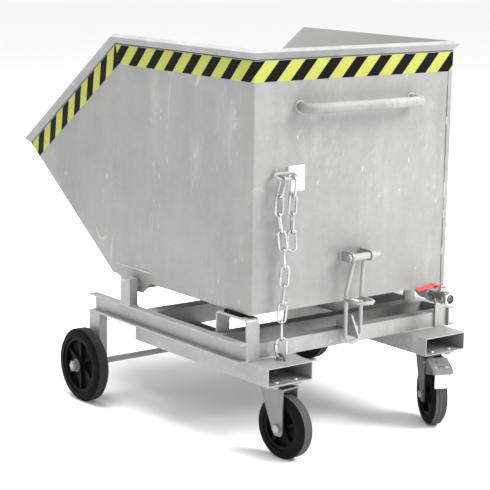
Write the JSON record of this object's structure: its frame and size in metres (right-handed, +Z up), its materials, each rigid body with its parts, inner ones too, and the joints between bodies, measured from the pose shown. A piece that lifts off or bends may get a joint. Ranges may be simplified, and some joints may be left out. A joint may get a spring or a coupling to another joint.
{
  "type": "tipping skip trolley",
  "caption": "Open sheet-metal bin that tips forwards on a wheeled frame with fork pockets, latch, safety chain and drain valve.",
  "frame": {"origin": "middle of the trolley's footprint, on the floor", "axes": "+X towards the pouring lip, +Y to the trolley's left, +Z up"},
  "size_m": [1.2109, 0.872, 1],
  "materials": {
    "galvanised": "hot-dip galvanised",
    "zinc": "bright zinc plated",
    "pad_rubber": "matt",
    "nickel": "nickel plated",
    "lever_red": "vinyl coated",
    "pedal": "zinc plated with a pale foot pad",
    "rim_plastic": "moulded black",
    "tyre": "black solid rubber"
  },
  "bodies": {
    "frame": {"rail_left": "galvanised", "rail_right": "galvanised", "fork_pocket_left": "galvanised", "fork_pocket_right": "galvanised", "cross_member_rear": "galvanised", "cross_member_middle": "galvanised", "cross_member_front": "galvanised", "pivot_post_left": "galvanised", "pivot_post_right": "galvanised", "pivot_shaft": "zinc", "front_leg_left": "galvanised", "front_leg_right": "galvanised", "front_axle": "zinc", "axle_nuts_and_spacers": "zinc", "bin_rest_left": "galvanised", "bin_rest_right": "galvanised", "rest_pads": "pad_rubber", "catch_plate": "galvanised", "chain_eye": "galvanised", "caster_plate_left": "zinc", "caster_plate_right": "zinc", "caster_bolts": "zinc"},
    "bin": {"bin_side_left": "galvanised", "bin_side_right": "galvanised", "bin_back": "galvanised", "bin_floor": "galvanised", "bin_chute": "galvanised", "rim_left": "galvanised", "rim_right": "galvanised", "rim_slope_left": "galvanised", "rim_slope_right": "galvanised", "rim_back": "galvanised", "push_handle": "galvanised", "hinge_tube": "galvanised", "hinge_plates": "galvanised", "latch_lugs": "galvanised", "latch_pin": "zinc", "chain_staple": "galvanised", "chain": "zinc", "quick_link": "zinc", "drain_pipe": "nickel", "valve_body": "nickel"},
    "latch": {"latch_sleeve": "galvanised", "latch_loop": "galvanised", "latch_grip": "galvanised"},
    "valve": {"valve_stem": "nickel", "valve_lever": "lever_red"},
    "caster_left": {"caster_fork_left": "zinc", "caster_axle_left": "zinc"},
    "caster_right": {"caster_fork_right": "zinc", "caster_axle_right": "zinc"},
    "caster_wheel_left": {"caster_rim_left": "rim_plastic", "caster_tyre_left": "tyre"},
    "caster_wheel_right": {"caster_rim_right": "rim_plastic", "caster_tyre_right": "tyre"},
    "brake": {"brake_pedal": "pedal"},
    "front_wheel_left": {"front_rim_left": "rim_plastic", "front_tyre_left": "tyre"},
    "front_wheel_right": {"front_rim_right": "rim_plastic", "front_tyre_right": "tyre"}
  },
  "joints": [
    {"name": "bin_tip", "type": "hinge", "parent": "frame", "child": "bin", "pos_m": [0.0355, 0, 0.3425], "axis": [0, 1, 0], "range_deg": [0, 55]},
    {"name": "latch_swing", "type": "hinge", "parent": "bin", "child": "latch", "pos_m": [-0.4983, 0.017, 0.474], "axis": [0, 1, 0], "range_deg": [-6, 90]},
    {"name": "valve_turn", "type": "hinge", "parent": "bin", "child": "valve", "pos_m": [-0.5105, -0.27, 0.362], "axis": [0, 0, 1], "range_deg": [0, 90]},
    {"name": "caster_swivel_left", "type": "hinge", "parent": "frame", "child": "caster_left", "pos_m": [-0.4805, 0.26, 0.188], "axis": [0, 0, 1], "continuous": true},
    {"name": "caster_spin_left", "type": "hinge", "parent": "caster_left", "child": "caster_wheel_left", "pos_m": [-0.51822, 0.25537, 0.08], "axis": [0.1219, -0.9925, 0], "continuous": true},
    {"name": "caster_swivel_right", "type": "hinge", "parent": "frame", "child": "caster_right", "pos_m": [-0.4805, -0.26, 0.188], "axis": [0, 0, 1], "continuous": true},
    {"name": "caster_spin_right", "type": "hinge", "parent": "caster_right", "child": "caster_wheel_right", "pos_m": [-0.51465, -0.24334, 0.08], "axis": [-0.4384, -0.8988, 0], "continuous": true},
    {"name": "brake_press", "type": "hinge", "parent": "caster_right", "child": "brake", "pos_m": [-0.52724, -0.2372, 0.17], "axis": [-0.4384, -0.8988, 0], "range_deg": [0, 8]},
    {"name": "front_spin_left", "type": "hinge", "parent": "frame", "child": "front_wheel_left", "pos_m": [0.1885, 0.395, 0.1], "axis": [0, 1, 0], "continuous": true},
    {"name": "front_spin_right", "type": "hinge", "parent": "frame", "child": "front_wheel_right", "pos_m": [0.1885, -0.395, 0.1], "axis": [0, 1, 0], "continuous": true}
  ]
}
